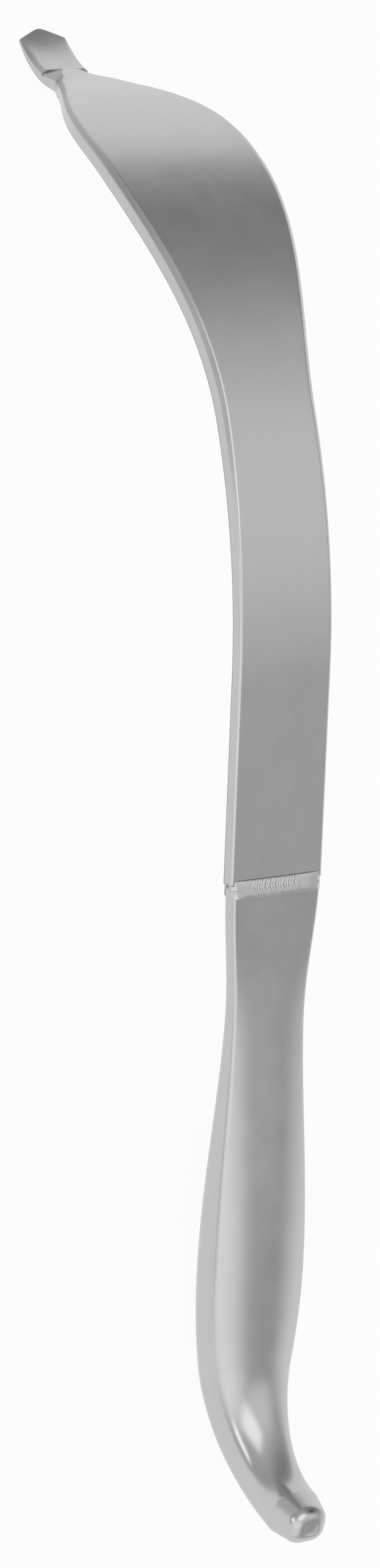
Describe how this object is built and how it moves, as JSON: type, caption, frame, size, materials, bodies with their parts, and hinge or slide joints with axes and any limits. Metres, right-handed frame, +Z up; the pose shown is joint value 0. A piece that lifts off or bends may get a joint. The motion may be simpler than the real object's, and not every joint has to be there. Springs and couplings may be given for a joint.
{
  "type": "handheld surgical retractor",
  "caption": "Steel hand retractor: an arched blade that flares to a broad head and ends in a narrow beak, welded to a contoured handle that ends in a forward hook.",
  "frame": {"origin": "centre of the bounding box in X and Y, on the plane that the retractor lies on", "axes": "+X along the instrument toward the blade's beak, +Z up out of the front face as it lies on its heel and its beak, Y across it"},
  "size_m": [0.3074, 0.0354, 0.0684],
  "materials": {
    "blade_steel": "satin, brushed lengthwise",
    "weld_steel": "as welded, rippled",
    "handle_steel": "matt satin, blasted"
  },
  "bodies": {
    "root": {"blade": "blade_steel", "weld_bead": "weld_steel", "handle": "handle_steel"}
  },
  "joints": []
}
